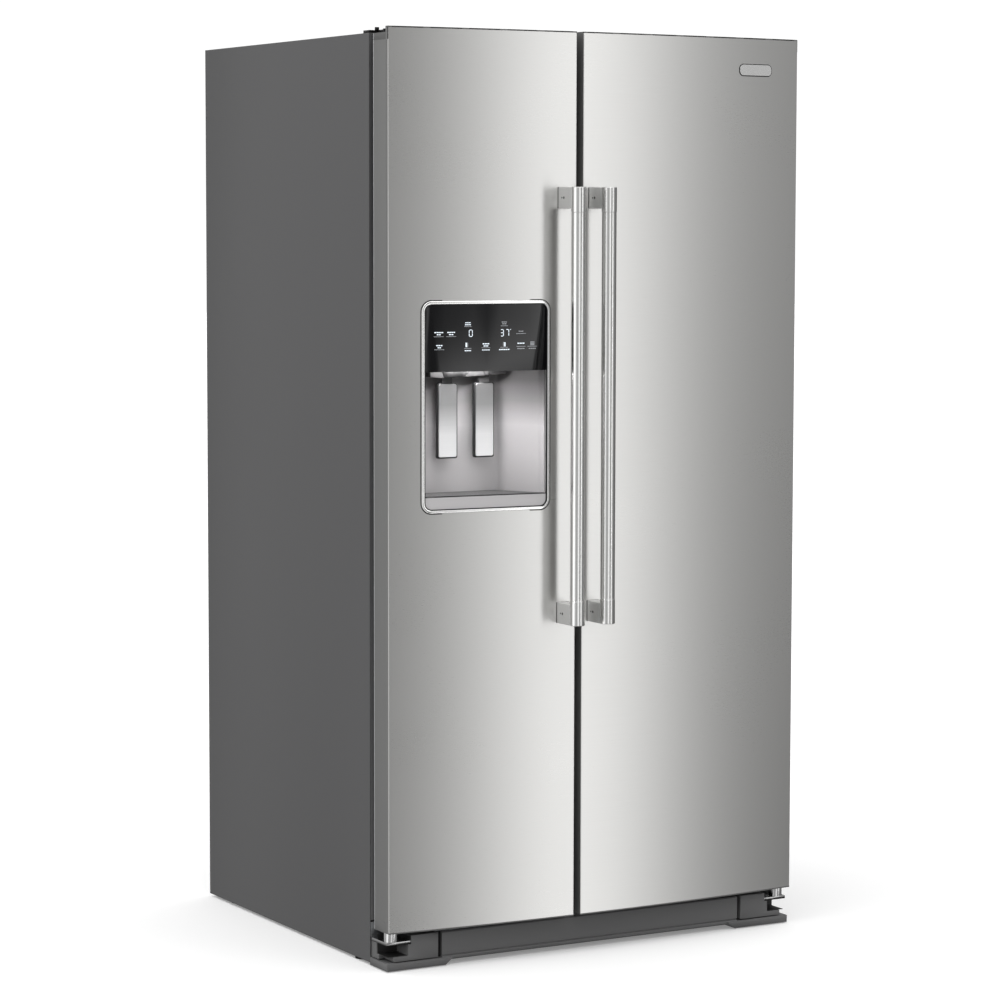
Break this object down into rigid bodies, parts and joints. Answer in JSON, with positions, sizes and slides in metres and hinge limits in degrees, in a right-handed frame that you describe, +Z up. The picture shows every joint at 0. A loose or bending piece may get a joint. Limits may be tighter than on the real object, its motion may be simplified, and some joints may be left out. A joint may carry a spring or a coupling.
{
  "type": "side by side refrigerator",
  "caption": "Upright cold-storage cabinet with a narrow freezer door and a wide fridge door side by side, bar handles and an ice and water dispenser in the freezer door.",
  "frame": {"origin": "on the floor under the centre of the overall box", "axes": "+Z up, -Y out of the doors, +X to the right seen from the front, so the freezer is on the -X side"},
  "size_m": [0.902, 0.893, 1.7535],
  "materials": {
    "cabinet_paint": "satin grey paint",
    "foam": "foam",
    "liner_plastic": "smooth white liner",
    "frame_steel": "zinc grey",
    "black_paint": "semi-gloss black",
    "coil_metal": "finned",
    "black_plastic": "matt black",
    "white_plastic": "white",
    "white_wire": "white coated",
    "clear_glass": "clear",
    "clear_plastic": "clear moulded plastic",
    "hinge_steel": "plated",
    "grille_plastic": "dark grey",
    "bezel_metal": "bright",
    "black_gloss": "glossy black",
    "recess_plastic": "light grey metallic",
    "brushed_paddle": "brushed",
    "stainless": "brushed vertical-grain steel",
    "door_side_paint": "satin grey",
    "cap_plastic": "grey",
    "gasket_rubber": "black magnetic seal",
    "handle_steel": "bright brushed"
  },
  "bodies": {
    "cabinet": {"cabinet_shell": "cabinet_paint", "rear_panel": "cabinet_paint", "insulation": "foam", "freezer_liner": "liner_plastic", "fridge_liner": "liner_plastic", "base_frame": "frame_steel", "machine_cover": "frame_steel", "compressor": "black_paint", "condenser": "coil_metal", "drain_pan": "black_plastic", "water_valve": "white_plastic", "evaporator": "coil_metal", "evaporator_cover": "liner_plastic", "freezer_shelves": "white_wire", "ice_maker": "white_plastic", "fridge_shelf_panes": "clear_glass", "fridge_shelf_frames": "white_plastic", "crisper_cover": "white_plastic", "control_box": "white_plastic", "water_filter": "white_plastic", "door_hinges": "hinge_steel", "hinge_screws": "hinge_steel", "base_grille": "grille_plastic", "grille_ends": "grille_plastic"},
    "freezer_door": {"freezer_door_skin": "stainless", "freezer_door_core": "door_side_paint", "freezer_door_caps": "cap_plastic", "freezer_door_liner": "liner_plastic", "freezer_door_gasket": "gasket_rubber", "freezer_door_bins": "clear_plastic", "freezer_handle_bar": "handle_steel", "freezer_handle_posts": "handle_steel", "dispenser_bezel": "bezel_metal", "dispenser_panel": "black_gloss", "dispenser_housing": "recess_plastic", "dispenser_tray": "recess_plastic", "tray_grille": "grille_plastic", "ice_bin": "clear_plastic"},
    "fridge_door": {"fridge_door_skin": "stainless", "fridge_door_core": "door_side_paint", "fridge_door_caps": "cap_plastic", "fridge_door_liner": "liner_plastic", "fridge_door_gasket": "gasket_rubber", "fridge_door_bins": "clear_plastic", "fridge_handle_bar": "handle_steel", "fridge_handle_posts": "handle_steel", "nameplate": "bezel_metal"},
    "condenser_fan": {"condenser_fan": "black_plastic"},
    "evaporator_fan": {"evaporator_fan": "black_plastic"},
    "freezer_basket": {"freezer_basket": "white_wire"},
    "crisper_upper": {"crisper_upper": "clear_plastic"},
    "crisper_lower": {"crisper_lower": "clear_plastic"},
    "leveling_leg_left": {"leveling_leg_left": "hinge_steel"},
    "leveling_leg_right": {"leveling_leg_right": "hinge_steel"},
    "front_rollers": {"front_rollers": "black_plastic"},
    "rear_rollers": {"rear_rollers": "black_plastic"},
    "ice_auger": {"ice_auger": "hinge_steel"},
    "ice_paddle": {"ice_paddle": "brushed_paddle"},
    "water_paddle": {"water_paddle": "brushed_paddle"},
    "chute_flap": {"chute_flap": "black_plastic"}
  },
  "joints": [
    {"name": "freezer_door_hinge", "type": "hinge", "parent": "cabinet", "child": "freezer_door", "pos_m": [-0.434, -0.3325, 0.074], "axis": [0, 0, -1], "range_deg": [0, 130]},
    {"name": "fridge_door_hinge", "type": "hinge", "parent": "cabinet", "child": "fridge_door", "pos_m": [0.434, -0.3325, 0.074], "axis": [0, 0, 1], "range_deg": [0, 130]},
    {"name": "ice_paddle_pivot", "type": "hinge", "parent": "freezer_door", "child": "ice_paddle", "pos_m": [-0.2925, -0.2855, 1.15], "axis": [1, 0, 0], "range_deg": [0, 4.5], "stiffness_Nm_per_rad": 0.6},
    {"name": "water_paddle_pivot", "type": "hinge", "parent": "freezer_door", "child": "water_paddle", "pos_m": [-0.2135, -0.2855, 1.15], "axis": [1, 0, 0], "range_deg": [0, 4.5], "stiffness_Nm_per_rad": 0.6},
    {"name": "chute_flap_pivot", "type": "hinge", "parent": "freezer_door", "child": "chute_flap", "pos_m": [-0.253, -0.2699, 1.2356], "axis": [1, 0, 0], "range_deg": [0, 45], "stiffness_Nm_per_rad": 0.02},
    {"name": "ice_auger_spin", "type": "hinge", "parent": "freezer_door", "child": "ice_auger", "pos_m": [-0.299, -0.249, 1.314], "axis": [0, 0, 1], "continuous": true},
    {"name": "condenser_fan_spin", "type": "hinge", "parent": "cabinet", "child": "condenser_fan", "pos_m": [-0.3, 0.3175, 0.117], "axis": [0, 1, 0], "continuous": true},
    {"name": "evaporator_fan_spin", "type": "hinge", "parent": "cabinet", "child": "evaporator_fan", "pos_m": [-0.24438, 0.3105, 1.04], "axis": [0, 1, 0], "continuous": true},
    {"name": "freezer_basket_slide", "type": "slide", "parent": "cabinet", "child": "freezer_basket", "axis": [0, -1, 0], "range_m": [0, 0.085]},
    {"name": "crisper_upper_slide", "type": "slide", "parent": "cabinet", "child": "crisper_upper", "axis": [0, -1, 0], "range_m": [0, 0.075]},
    {"name": "crisper_lower_slide", "type": "slide", "parent": "cabinet", "child": "crisper_lower", "axis": [0, -1, 0], "range_m": [0, 0.075]},
    {"name": "leveling_leg_left_screw", "type": "slide", "parent": "cabinet", "child": "leveling_leg_left", "axis": [0, 0, -1], "range_m": [0, 0.012]},
    {"name": "leveling_leg_right_screw", "type": "slide", "parent": "cabinet", "child": "leveling_leg_right", "axis": [0, 0, -1], "range_m": [0, 0.012]},
    {"name": "front_rollers_spin", "type": "hinge", "parent": "cabinet", "child": "front_rollers", "pos_m": [0, -0.1595, 0.022], "axis": [1, 0, 0], "continuous": true},
    {"name": "rear_rollers_spin", "type": "hinge", "parent": "cabinet", "child": "rear_rollers", "pos_m": [0, 0.3565, 0.02], "axis": [1, 0, 0], "continuous": true}
  ],
  "couplings": [
    {"joint": "chute_flap_pivot", "follows": "ice_paddle_pivot", "ratio": 10}
  ]
}
